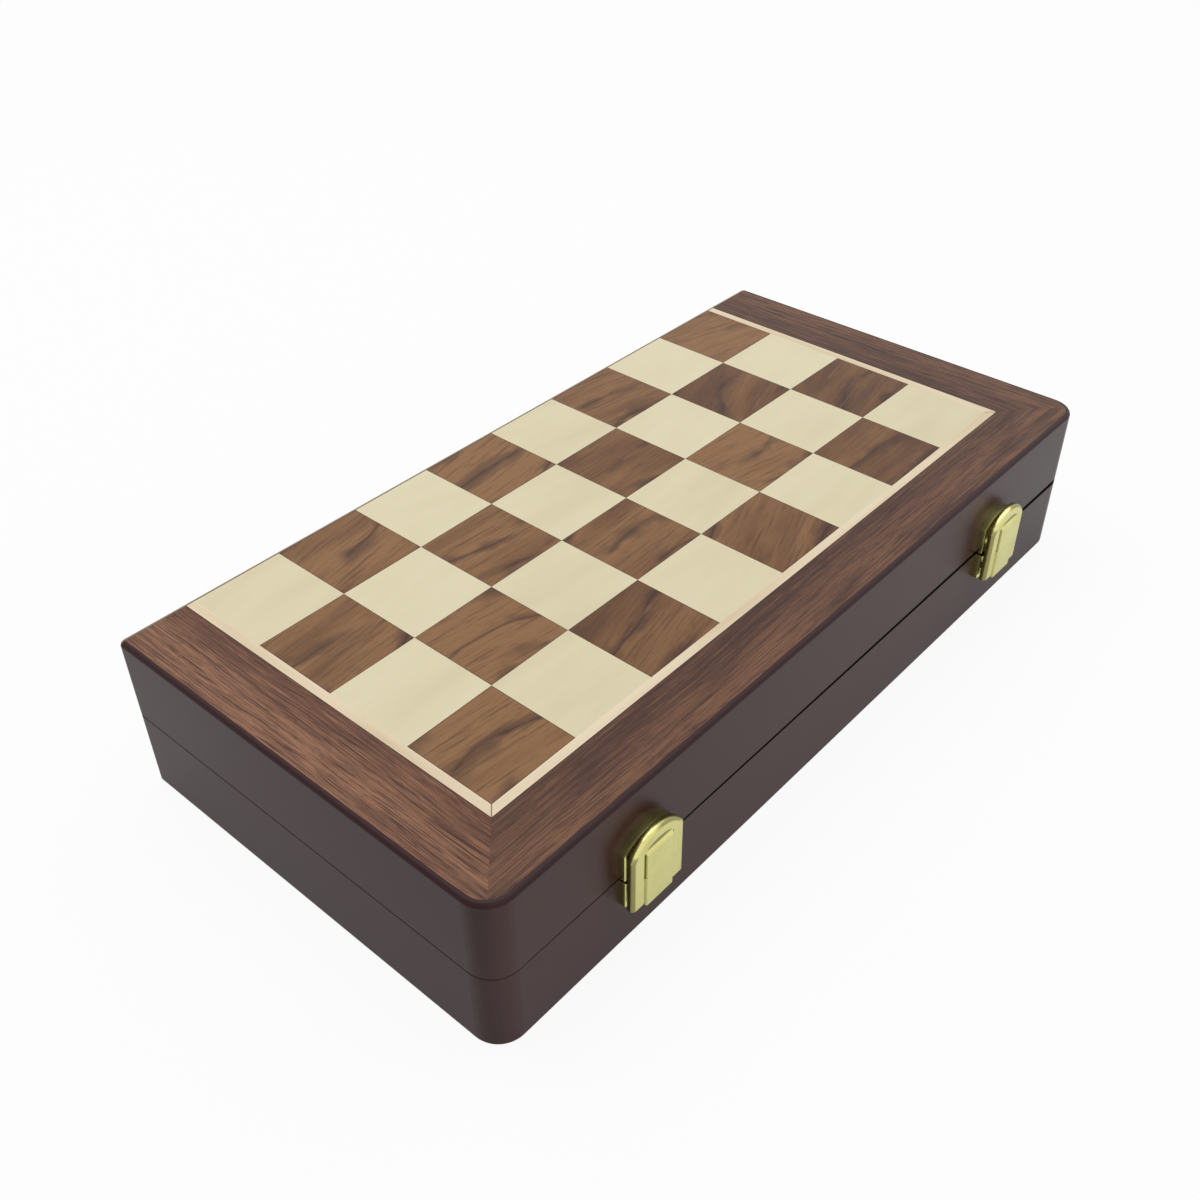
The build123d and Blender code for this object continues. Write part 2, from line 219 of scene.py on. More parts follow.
WALNUT = WoodTones(pale=srgb(139, 102, 68), middle=srgb(119, 84, 54), deep=srgb(91, 61, 41),
                   vein=srgb(47, 27, 28))
MAPLE = WoodTones(pale=srgb(222, 212, 180), middle=srgb(219, 209, 176), deep=srgb(214, 203, 170),
                  vein=srgb(150, 138, 108))
EDGE_MAPLE = WoodTones(pale=srgb(232, 216, 188), middle=srgb(226, 208, 178), deep=srgb(214, 194, 162),
                       vein=srgb(90, 66, 50))
SIDE_ROSEWOOD = WoodTones(pale=srgb(149, 106, 80), middle=srgb(119, 80, 59), deep=srgb(90, 57, 43),
                          vein=srgb(50, 28, 23))
FRONT_ROSEWOOD = WoodTones(pale=srgb(122, 85, 63), middle=srgb(95, 64, 49), deep=srgb(68, 43, 35),
                           vein=srgb(40, 23, 20))
STAINED = WoodTones(pale=srgb(112, 66, 48), middle=srgb(94, 52, 40), deep=srgb(76, 42, 33),
                    vein=srgb(50, 27, 23))
BIRCH = WoodTones(pale=srgb(214, 186, 146), middle=srgb(203, 173, 132), deep=srgb(188, 156, 116),
                  vein=srgb(150, 118, 84))


@dataclass(frozen=True)
class PlainVeneer:
    """Satin-lacquered wood with long even fibres, and a dark joint where two strips meet at a corner."""

    name: str
    tones: WoodTones
    grain: Grain
    figure: float = 0.5
    seed: float = 0.0
    roughness: float = 0.42
    mitre_mm: tuple[float, float] | None = None

    def material(self) -> bpy.types.Material:
        """Builds the finish: broad tone, fine fibre, open pores and the corner's joint."""
        g = Graph(bpy.data.materials.new(self.name))
        place = g.place_mm()
        along = g.along_grain(place, self.grain, self.seed)
        broad = g.streaks(along, 0.012, 0.14)
        fibre = g.streaks(along, 0.04, 2.2, detail=3, roughness=0.6)
        pores = g.streaks(along, 0.35, 5.0, detail=1)
        tone = g.ramp(broad, [(0.34, self.tones.pale), (0.5, self.tones.middle), (0.66, self.tones.deep)])
        colour = g.mix(g.ease(fibre, 0.5, 0.72, 0.0, self.figure), tone, self.tones.deep)
        colour = g.mix(g.ease(pores, 0.68, 0.76, 0.0, 0.5 * self.figure), colour, self.tones.vein)
        if self.mitre_mm is not None:
            x, y, _ = g.axes(place)
            past_end = g.math("SUBTRACT", g.math("ABSOLUTE", x), self.mitre_mm[0])
            past_front = g.math("SUBTRACT", self.mitre_mm[1], y)
            off_joint = g.math("ABSOLUTE", g.math("SUBTRACT", past_end, past_front))
            colour = g.mix(g.ease(off_joint, 0.34, 0.12, 0.0, 0.8), colour, self.tones.vein)
        return g.finish(Base_Color=colour, Roughness=self.roughness, IOR=1.3, Normal=g.bump(fibre, 0.02))


@dataclass(frozen=True)
class LinedVeneer:
    """Rosewood with close dark growth lines, darker towards the pale line that it lies beside.

    The axis and its sign give the way from the field to the case's edge. The strip starts at inner_mm
    and ends at outer_mm along it.
    """

    name: str
    tones: WoodTones
    grain: Grain
    axis: int
    sign: float
    inner_mm: float
    outer_mm: float
    line_strength: float
    patch_strength: float
    seed: float
    pitch_mm: float = 0.9
    sway_mm: float = 8.0
    jitter: float = 26.0
    tick_strength: float = 0.6
    roughness: float = 0.45

    def material(self) -> bpy.types.Material:
        """Builds the finish: a sine of the distance across, swayed by noise, draws the growth lines.

        Noise that is long one way and fine the other breaks those lines up, and adds the pores: short
        dark ticks a quarter of a millimetre wide.
        """
        g = Graph(bpy.data.materials.new(self.name))
        place = g.place_mm()
        reach = g.math("MULTIPLY", g.axes(place)[self.axis], self.sign)
        along = g.along_grain(place, self.grain, self.seed)
        run, across, _ = g.axes(along)
        sway = g.streaks(along, 0.013, 0.03, detail=3, roughness=0.45)
        swayed = g.math("MULTIPLY_ADD", sway, self.sway_mm, across)
        bent = g.joined(run, swayed, 0.0)
        late = g.math("MULTIPLY", g.streaks(bent, 0.015, 0.7), self.jitter)
        wave = g.math("SINE", g.math("MULTIPLY_ADD", swayed, 2 * math.pi / self.pitch_mm, late))
        broken = g.streaks(bent, 0.08, 1.1, roughness=0.6)
        lines = g.math("MULTIPLY", g.ease(wave, -0.5, 1.0), g.ease(broken, 0.3, 0.6, 0.15, 1.0))
        pores = g.streaks(bent, 0.16, 3.4, roughness=0.6)
        ticks = g.ease(pores, 0.53, 0.66, 0.0, self.tick_strength)
        fibre = g.streaks(along, 0.05, 1.3, detail=4, roughness=0.75)
        patch = g.streaks(along, 0.02, 0.14)
        share = g.math("DIVIDE", g.math("SUBTRACT", reach, self.inner_mm), self.outer_mm - self.inner_mm)
        tone = g.mix(g.ease(share, 0.2, 0.8), self.tones.middle, self.tones.pale)
        tone = g.mix(g.ease(patch, 0.44, 0.66, 0.0, self.patch_strength), tone, self.tones.deep)
        tone = g.mix(g.ease(fibre, 0.52, 0.36, 0.0, 0.8), tone, self.tones.deep)
        tone = g.mix(g.ease(fibre, 0.5, 0.66, 0.0, 0.75), tone, self.tones.pale)
        dark = g.math("MAXIMUM", g.math("MULTIPLY", lines, self.line_strength), ticks)
        colour = g.mix(dark, tone, self.tones.vein)
        off_joint = g.math("ABSOLUTE", g.math("SUBTRACT", reach, self.inner_mm))
        colour = g.mix(g.ease(off_joint, 0.5, 0.1, 0.0, 0.75), colour, self.tones.vein)
        height = g.math("SUBTRACT", 1.0, dark)
        return g.finish(Base_Color=colour, Roughness=self.roughness, IOR=1.3, Normal=g.bump(height, 0.02))


@dataclass(frozen=True)
class SquareVeneer:
    """Squares of veneer, each cut from its own place in the sheet and turned a little."""

    name: str
    tones: WoodTones
    corner_mm: tuple[float, float]
    side_mm: float
    turn: float
    vein_strength: float
    fibre_strength: float
    pore_strength: float
    edge_strength: float
    variety: float
    vein_spacing_mm: float = 17.0
    sway_mm: float = 14.0
    most_bow: float = 0.03
    sheet_mm: float = 900.0
    glue_mm: float = 0.36
    roughness: float = 0.45

    def cells(self, g: Graph) -> tuple[Socket, Socket, Socket]:
        """Finds which square a point is in.

        Args:
            g: The tree to build in.

        Returns:
            The place from the square's centre in millimetres, three random numbers for the square,
            and the distance from its nearest edge.
        """
        x, y, z = g.axes(g.place_mm())
        numbers, offsets = [], []
        for along, low in zip((x, y), self.corner_mm):
            count = g.math("DIVIDE", g.math("SUBTRACT", along, low), self.side_mm)
            numbers.append(g.math("FLOOR", count))
            part = g.math("SUBTRACT", g.math("SUBTRACT", count, numbers[-1]), 0.5)
            offsets.append(g.math("MULTIPLY", part, self.side_mm))
        chance = g.node("TexWhiteNoise", {"Vector": g.joined(*numbers, 0.0)},
                        noise_dimensions="3D").outputs["Color"]
        reach = g.math("MAXIMUM", *[g.math("ABSOLUTE", offset) for offset in offsets])
        edge = g.math("SUBTRACT", self.side_mm / 2, reach)
        return g.joined(*offsets, z), chance, edge

    def material(self) -> bpy.types.Material:
        """Builds the finish: a tone for each square, arching veins, short pores and a glue line.

        A vein lies where the height across, less a random bow times the square of the distance along
        and swayed by noise, is a whole number of vein spacings. Its own width varies along it, and a
        wider soft shade follows it.
        """
        g = Graph(bpy.data.materials.new(self.name))
        local, chance, edge = self.cells(g)
        first, second, third = g.axes(chance)
        angle = g.math("MULTIPLY", g.math("SUBTRACT", first, 0.5), 2 * self.turn)
        turned = g.node("VectorRotate", {"Vector": local, "Angle": angle}, rotation_type="Z_AXIS").outputs[0]
        moved = g.vector("ADD", turned, g.vector("MULTIPLY", chance, (self.sheet_mm,) * 3))
        run, across, _ = g.axes(turned)
        bow = g.math("MULTIPLY", g.math("SUBTRACT", third, 0.5), self.most_bow)
        arch = g.math("MULTIPLY", g.math("MULTIPLY", run, run), bow)
        sway = g.streaks(moved, 0.03, 0.05, detail=1.5, roughness=0.4)
        growth = g.math("ADD", g.math("ADD", across, arch), g.math("MULTIPLY", sway, self.sway_mm))
        turns = g.math("DIVIDE", growth, self.vein_spacing_mm)
        off_vein = g.math("ABSOLUTE", g.math("SUBTRACT", g.math("FRACT", turns), 0.5))
        off_vein = g.math("MULTIPLY", off_vein, self.vein_spacing_mm)
        broad = g.streaks(moved, 0.02, 0.09)
        fibre = g.streaks(moved, 0.05, 1.2, detail=4, roughness=0.65)
        pores = g.streaks(moved, 0.12, 3.2, roughness=0.6)
        width = g.streaks(moved, 0.07, 0.1)
        shift = g.math("MULTIPLY", g.math("SUBTRACT", second, 0.5), self.variety)
        tone = g.ramp(g.math("ADD", broad, shift),
                      [(0.32, self.tones.pale), (0.54, self.tones.middle), (0.78, self.tones.deep)])
        core = g.math("DIVIDE", off_vein, g.ease(width, 0.38, 0.66, 0.22, 1.15))
        halo = g.math("DIVIDE", off_vein, g.ease(width, 0.34, 0.66, 1.2, 6.5))
        shade = g.math("MAXIMUM", g.ease(core, 1.6, 0.2, 0.0, 0.9), g.ease(halo, 1.0, 0.0, 0.0, 0.7))
        broken = g.ease(g.streaks(moved, 0.045, 0.06), 0.36, 0.56, 0.0, self.vein_strength)
        colour = g.mix(g.math("MULTIPLY", shade, broken), tone, self.tones.vein)
        colour = g.mix(g.ease(fibre, 0.5, 0.3, 0.0, self.fibre_strength), colour, self.tones.deep)
        colour = g.mix(g.ease(fibre, 0.54, 0.74, 0.0, 0.6 * self.fibre_strength), colour, self.tones.pale)
        colour = g.mix(g.ease(pores, 0.58, 0.7, 0.0, self.pore_strength), colour, self.tones.vein)
        on_glue = g.ease(edge, self.glue_mm, self.glue_mm / 6, 0.0, self.edge_strength)
        colour = g.mix(on_glue, colour, self.tones.vein)
        height = g.math("SUBTRACT", 1.0, g.ease(pores, 0.58, 0.7))
        return g.finish(Base_Color=colour, Roughness=self.roughness, IOR=1.3, Normal=g.bump(height, 0.015))


@dataclass(frozen=True)
class Lacquer:
    """Deep red-brown lacquer outside, and stained wood on the walls of the cavity."""

    name: str
    cavity_low_mm: tuple[float, float]
    cavity_high_mm: tuple[float, float]
    end_mm: float
    seam_mm: float
    face_mm: float
    lip_mm: float
    outside: Colour = srgb(68, 36, 35)
    # Painted light: the end walls get their own greyer colour of the one lacquer.
    end_outside: Colour = srgb(57, 35, 35)
    streak: Colour = srgb(54, 30, 30)
    # Painted shade on the rounded edge, for the dark surroundings that it would reflect.
    edge: Colour = srgb(48, 22, 25)
    # Painted reflection: the long walls turn greyer towards the right end.
    far_end: Colour = srgb(64, 52, 52)
    # Painted shade of the gap where the halves meet.
    seam_shade: Colour = srgb(8, 4, 4)
    # The paler colour of the thin lip behind the last row of squares.
    lip_tone: Colour = srgb(134, 116, 94)
    edge_mm: float = 1.65
    corner_mm: float = 5.0
    line_mm: float = 0.35
    line_growth_mm: float = 0.95
    end_line_less_mm: float = 0.6
    roughness: float = 0.35
    ior: float = 1.33
    end_ior_less: float = 0.085
    line_ior_less: float = 0.24
    margin_mm: float = 0.05

    def material(self) -> bpy.types.Material:
        """Builds the finish: satin lacquer, with painted shade on the rounded edge and where the halves meet.

        The end walls are painted greyer than the long ones, which stands in for how light falls on them, and
        are a little less glossy. The long walls grow greyer towards the right, a painted reflection. The line
        of painted shade grows wider and darker along the long walls from the left end to the right. Behind
        the last row of squares the thin lip is paler.
        """
        g = Graph(bpy.data.materials.new(self.name))
        place = g.place_mm()
        x, y, z = g.axes(place)
        grain = g.noise(g.mapped(place, scale=(0.02, 0.02, 0.9)), 1.0, detail=3, roughness=0.6)
        cloud = g.noise(place, 0.02, detail=2)
        # Painted light: the end walls turn to their own colour, and the long walls greyer to the right as a
        # painted reflection.
        on_end = g.ease(g.math("ABSOLUTE", x), self.end_mm - self.corner_mm,
                        self.end_mm - 0.1 * self.corner_mm)
        outside = g.mix(g.ease(x, 0.5 * self.end_mm, self.end_mm), self.outside, self.far_end)
        outside = g.mix(on_end, outside, self.end_outside)
        outside = g.mix(g.ease(grain, 0.35, 0.7, 0.0, 0.3), outside, self.streak)
        outside = g.mix(g.ease(cloud, 0.35, 0.7, 0.0, 0.3), outside, self.streak)
        # Painted shade on the rounded edge by the face, which is rougher there too.
        off_face = g.math("ABSOLUTE", g.math("SUBTRACT", z, self.face_mm))
        painted_edge_shade = g.ease(off_face, self.edge_mm, 0.6 * self.edge_mm)
        outside = g.mix(painted_edge_shade, outside, self.edge)
        # The thin lip behind the last row of squares turns paler.
        on_lip = g.math("MULTIPLY", g.ease(y, self.lip_mm - 0.1, self.lip_mm + 0.1, 0.0, 0.85),
                        g.ease(off_face, 0.9, 0.4))
        outside = g.mix(on_lip, outside, self.lip_tone)
        within = g.math("MULTIPLY", self.between(g, x, 0), self.between(g, y, 1))
        stain = g.ramp(grain, [(0.3, STAINED.pale), (0.5, STAINED.middle), (0.7, STAINED.deep)])
        colour = g.mix(within, outside, stain)
        # Painted shade of the gap where the halves meet: a dark, less glossy line that grows wider and darker
        # to the right.
        off_seam = g.math("ABSOLUTE", g.math("SUBTRACT", z, self.seam_mm))
        share = g.node("MapRange", {0: x, 1: -self.end_mm, 2: self.end_mm, 3: 0.0, 4: 1.0}).outputs[0]
        growth = g.math("MULTIPLY_ADD", on_end, -self.end_line_less_mm, self.line_growth_mm)
        width = g.math("MULTIPLY_ADD", share, growth, self.line_mm)
        line = g.math("MULTIPLY", g.ease(g.math("DIVIDE", off_seam, width), 1.0, 0.5),
                      g.ease(share, 0.0, 0.3, 0.05, 1.0))
        line = g.math("MULTIPLY", line, g.math("GREATER_THAN", off_seam, 0.01))
        colour = g.mix(line, colour, self.seam_shade)
        peel = g.noise(place, 0.45, detail=1)
        matt = g.math("MAXIMUM", g.math("MULTIPLY", painted_edge_shade, 0.45), g.math("MULTIPLY", line, 0.8))
        roughness = g.math("MAXIMUM", g.math("MULTIPLY_ADD", within, 0.15, self.roughness), matt)
        ior = g.math("MULTIPLY_ADD", on_end, -self.end_ior_less, self.ior)
        ior = g.math("MULTIPLY_ADD", line, -self.line_ior_less, ior)
        return g.finish(Base_Color=colour, Roughness=roughness, IOR=ior, Normal=g.bump(peel, 0.003))

    def between(self, g: Graph, value: Socket, axis: int) -> Socket:
        """One where a coordinate lies between the cavity's walls, else zero."""
        above = g.math("GREATER_THAN", value, self.cavity_low_mm[axis] - self.margin_mm)
        below = g.math("LESS_THAN", value, self.cavity_high_mm[axis] + self.margin_mm)
        return g.math("MULTIPLY", above, below)


@dataclass(frozen=True)
class Metal:
    """Bare or plated metal with fine brushing and faint tarnish."""

    name: str
    bright: Colour
    dull_and_painted_dark: Colour
    roughness: float
    wall_mm: float | None = None
    shadow_mm: tuple[float, float] = (1.0, 1.9)
    shadow: float = 0.5
    brush_mm: float = 0.002
    # The colour that painted shade and painted shadow darken the metal towards.
    painted_shade_tone: Colour = srgb(70, 60, 28)

    def material(self) -> bpy.types.Material:
        """Builds the finish: faint tarnish, fine upright brushing and a gloss that varies with both.

        A piece may carry an attribute from 0 on an open face to 1 at its darkest, by which shade is
        painted into the metal's colour. Close to the wall that a plate is screwed to, a painted shadow
        darkens it as well.
        """
        g = Graph(bpy.data.materials.new(self.name))
        place = g.place_mm()
        cloud = g.noise(place, 0.12, detail=2)
        brushed = g.noise(g.mapped(place, scale=(9, 9, 0.5)), 1.0, detail=2)
        fleck = g.noise(place, 1.6, detail=2)
        colour = g.mix(g.ease(cloud, 0.4, 0.75, 0.0, 0.6), self.bright, self.dull_and_painted_dark)
        colour = g.mix(g.ease(fleck, 0.62, 0.78, 0.0, 0.35), colour, self.dull_and_painted_dark)
        # Painted shade from the piece's attribute, and painted shadow close to the wall.
        painted_shade = g.node("Attribute", {}, attribute_name="painted_shade").outputs["Fac"]
        if self.wall_mm is not None:
            off_wall = g.math("SUBTRACT", self.wall_mm, g.axes(place)[1])
            near, far = self.shadow_mm
            painted_shade = g.math("MAXIMUM", painted_shade, g.ease(off_wall, far, near, 0.0, self.shadow))
        colour = g.mix(painted_shade, colour, self.painted_shade_tone)
        gloss = g.math("MULTIPLY_ADD", g.math("ADD", cloud, brushed), 0.1, self.roughness - 0.1)
        return g.finish(Base_Color=colour, Metallic=1.0, Roughness=gloss,
                        Normal=g.bump(brushed, self.brush_mm))


@dataclass(frozen=True)
class Felt:
    """Pressed felt with a short nap."""

    name: str
    pile: Colour = srgb(24, 66, 44)
    shade: Colour = srgb(14, 44, 30)

    def material(self) -> bpy.types.Material:
        """Builds the finish: tangled fibres, soft patches and a sheen."""
        g = Graph(bpy.data.materials.new(self.name))
        place = g.place_mm()
        tangle = g.noise(place, 2.2, detail=4, roughness=0.75, distortion=1.5)
        patch = g.noise(place, 0.06, detail=3)
        colour = g.mix(g.ease(tangle, 0.35, 0.7), self.pile, self.shade)
        colour = g.mix(g.ease(patch, 0.35, 0.75, 0.0, 0.35), colour, self.shade)
        return g.finish(Base_Color=colour, Roughness=0.95, Sheen_Weight=0.4, Sheen_Roughness=0.5,
                        Normal=g.bump(tangle, 0.18))


def new_piece(name: str, points: np.ndarray, faces: list, body: str,
              material: bpy.types.Material) -> bpy.types.Object:
    """Makes a mesh object that rides on a body.

    Args:
        name: The piece's name.
        points: Its vertices, an array of N by 3, in metres.
        faces: Its faces, as lists of vertex numbers.
        body: The body that carries it.
        material: Its finish.

    Returns:
        The object.
    """
    mesh = bpy.data.meshes.new(name)
    mesh.from_pydata(points.tolist(), [], faces)
    mesh.materials.append(material)
    mesh.update()
    piece = bpy.data.objects.new(name, mesh)
    bpy.context.scene.collection.objects.link(piece)
    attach(piece, body)
    log.info("%s: %d vertices, rides on %s", name, len(points), body)
    return piece


def dress(nodes: list[str], material: bpy.types.Material) -> None:
    """Gives a finish to solid nodes.

    Args:
        nodes: The nodes' names.
        material: The finish.
    """
    for node in nodes:
        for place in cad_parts[node].material_slots:
            place.material = material
        log.info("%s: %s", node, material.name)


def box_mm(node: str) -> tuple[np.ndarray, np.ndarray]:
    """A node's lowest and highest corners in millimetres."""
    low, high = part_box(node)
    return np.array(low) / MM, np.array(high) / MM


def runs(*stops: tuple[float, int], end: float) -> np.ndarray:
    """Numbers from stop to stop, each stretch in its own count of equal steps.

    Args:
        *stops: The start of each stretch and its number of steps.
        end: The end of the last stretch.

    Returns:
        The numbers, both ends included.
    """
    starts = [start for start, _ in stops]
    stretches = [np.linspace(start, stop, count, endpoint=False)
                 for (start, count), stop in zip(stops, starts[1:] + [end])]
    return np.concatenate(stretches + [np.array([end])])


def eased(value: np.ndarray) -> np.ndarray:
    """A climb from 0 to 1 with level ends: 3 t squared less 2 t cubed, t being the value held in 0 to 1."""
    held = np.clip(value, 0.0, 1.0)
    return held * held * (3 - 2 * held)


def pressed_strip(x: np.ndarray, path: np.ndarray, thickness: float,
                  rounding: float) -> tuple[np.ndarray, np.ndarray]:
    """A closed strip of metal that runs along a line in Y and Z.

    The front is that line, and the back is the same line moved in by the thickness along its normal.
    Near every edge, front and back close in as a bent sheet turns back, so that the edges are quarter
    rounds. The first and last columns are closed with a row of faces from front to back.

    Args:
        x: The columns' places, C of them.
        path: The outer line, an array of N by 2.
        thickness: The metal's thickness.
        rounding: The radius of its edges.

    Returns:
        The points, C times 2 N by 3, and the faces, four numbers each, pointing outwards.
    """
    step = np.gradient(path, axis=0)
    tangent = step / np.linalg.norm(step, axis=1, keepdims=True)
    normal = np.stack([-tangent[:, 1], tangent[:, 0]], axis=-1)
    along = np.concatenate([[0.0], np.cumsum(np.linalg.norm(np.diff(path, axis=0), axis=1))])
    side = np.minimum(x - x[0], x[-1] - x)[:, None]
    closing = bent_back(np.minimum(np.minimum(along, along[-1] - along), side), rounding)[..., None]
    front = path - normal * closing
    back = path - normal * (thickness - closing)
    loop = np.concatenate([front, back[:, ::-1]], axis=1)
    columns, count = loop.shape[:2]
    points = np.concatenate([np.broadcast_to(x[:, None, None], (columns, count, 1)), loop], axis=2)
    number = np.arange(columns * count).reshape(columns, count)
    turned = np.roll(number, -1, axis=1)
    skin = np.stack([number[:-1], number[1:], turned[1:], turned[:-1]], axis=-1).reshape(-1, 4)
    half = count // 2
    step_up = np.arange(half - 1)
    first = np.stack([number[0][step_up], number[0][step_up + 1], number[0][count - 2 - step_up],
                      number[0][count - 1 - step_up]], axis=-1)
    last = first[:, ::-1] + (columns - 1) * count
    faces = np.concatenate([skin, first, last])
    return points.reshape(-1, 3), outward(points.reshape(-1, 3), faces)


def outward(points: np.ndarray, faces: np.ndarray) -> np.ndarray:
    """Turns the faces of a closed shell outwards.

    The shell's volume is a sixth of the sum of a . (b x c) over its triangles. Where that is
    negative, every face's order is reversed.

    Args:
        points: The vertices, N by 3.
        faces: The faces, four numbers each.

    Returns:
        The faces, pointing outwards.
    """
    a, b, c, d = (points[faces[:, k]] for k in range(4))
    volume = np.sum(a * np.cross(b, c)) + np.sum(a * np.cross(c, d))
    return faces if volume > 0 else faces[:, ::-1]


def arc_over(half: float, rise: float, top: float) -> tuple[float, float]:
    """The radius of an arc over a chord, and how high its centre lies.

    The radius is the square of the half chord plus the square of the rise, over twice the rise.

    Args:
        half: Half of the chord.
        rise: The arc's top above the chord.
        top: How high the arc's top lies.

    Returns:
        The radius and the centre's height.
    """
    radius = (half * half + rise * rise) / (2 * rise)
    return radius, top - radius


def bent_back(distance: np.ndarray, radius: float) -> np.ndarray:
    """How far a sheet has turned back at a distance from its bent edge.

    Within the radius r, at a distance e from the edge, it is r less the root of r squared less (r - e)
    squared: a quarter round.
    """
    left = radius - np.clip(distance, 0.0, radius)
    return radius - np.sqrt(np.maximum(radius ** 2 - left ** 2, 0.0))


def joined_shells(shells: list[tuple[np.ndarray, np.ndarray]]) -> tuple[np.ndarray, np.ndarray]:
    """Several closed shells as one set of points and faces."""
    starts = np.cumsum([0] + [len(points) for points, _ in shells[:-1]])
    faces = [numbers + start for (_, numbers), start in zip(shells, starts)]
    return np.concatenate([points for points, _ in shells]), np.concatenate(faces)


def smooth(piece: bpy.types.Object, angle: float = 0.6) -> None:
    """Shades a piece smooth, with creases where its faces meet at more than an angle in radians."""
    mesh = piece.data
    mesh.polygons.foreach_set("use_smooth", np.ones(len(mesh.polygons), dtype=bool))
    mesh.set_sharp_from_angle(angle=angle)
    mesh.update()


@dataclass(frozen=True)
class Edging:
    """One side's pale line and border: how they lie, and how the border's wood is figured.

    The axis is 0 for X or 1 for Y, and the sign is the way outwards along it.
    """

    side: str
    grain: Grain
    axis: int
    sign: float
    tones: WoodTones
    line_strength: float
    patch_strength: float
    seed: float


EDGINGS = (Edging("left", Grain.ALONG_Y, 0, -1.0, SIDE_ROSEWOOD, 0.8, 0.5, 148.0),
           Edging("right", Grain.ALONG_Y, 0, 1.0, FRONT_ROSEWOOD, 0.8, 0.5, 185.0),
           Edging("front", Grain.ALONG_X, 1, -1.0, FRONT_ROSEWOOD, 0.5, 0.8, 185.0))
BASE_SEED = 500.0


@dataclass
class PlayingDeck:
    """The inlaid outer face of one half, and the panel behind it."""

    half: Half

    def build(self) -> None:
        """Dresses the squares, the pale lines, the border and the panel."""
        self.dress_squares()
        for edging in EDGINGS:
            self.dress_edging(edging)
        panel = PlainVeneer(f"{self.half.value}_birch_ply", BIRCH, Grain.ALONG_X, roughness=0.6)
        dress([f"{self.half.value}_panel"], panel.material())

    def dress_squares(self) -> None:
        """Finds the grid of squares from their boxes and dresses both woods."""
        prefix = self.half.value
        low_a, high_a = box_mm(f"{prefix}_light_squares")
        low_b, _ = box_mm(f"{prefix}_dark_squares")
        corner = tuple(float(value) for value in np.minimum(low_a, low_b)[:2])
        side = float(high_a[0] - corner[0]) / SQUARES_ALONG
        walnut = SquareVeneer(f"{prefix}_walnut", WALNUT, corner, side, turn=0.35, vein_strength=0.95,
                              fibre_strength=0.85, pore_strength=0.5, edge_strength=0.7, variety=0.6)
        maple = SquareVeneer(f"{prefix}_maple", MAPLE, corner, side, turn=0.2, vein_strength=0.0,
                             fibre_strength=0.2, pore_strength=0.04, edge_strength=0.0, variety=0.3)
        dress([f"{prefix}_dark_squares"], walnut.material())
        dress([f"{prefix}_light_squares"], maple.material())

    def dress_edging(self, edging: Edging) -> None:
        """Dresses one side's pale line and border.

        Args:
            edging: The side.
        """
        prefix, side, axis = self.half.value, edging.side, edging.axis
        seed = edging.seed + (BASE_SEED if self.half is Half.BASE else 0.0)
        line_low, line_high = box_mm(f"{prefix}_{side}_stringing")
        low, high = box_mm(f"{prefix}_{side}_border")
        inner = edging.sign * float(line_high[axis] if edging.sign > 0 else line_low[axis])
        outer = edging.sign * float(high[axis] if edging.sign > 0 else low[axis])
        front_line, _ = box_mm(f"{prefix}_front_stringing")
        mitre = (-float(front_line[0]), float(front_line[1]))
        border = LinedVeneer(f"{prefix}_{side}_rosewood", edging.tones, edging.grain, axis, edging.sign,
                             inner, outer, edging.line_strength, edging.patch_strength, seed)
        line = PlainVeneer(f"{prefix}_{side}_pale_line", EDGE_MAPLE, edging.grain, figure=0.35,
                           seed=seed, mitre_mm=mitre)
        dress([f"{prefix}_{side}_border"], border.material())
        dress([f"{prefix}_{side}_stringing"], line.material())


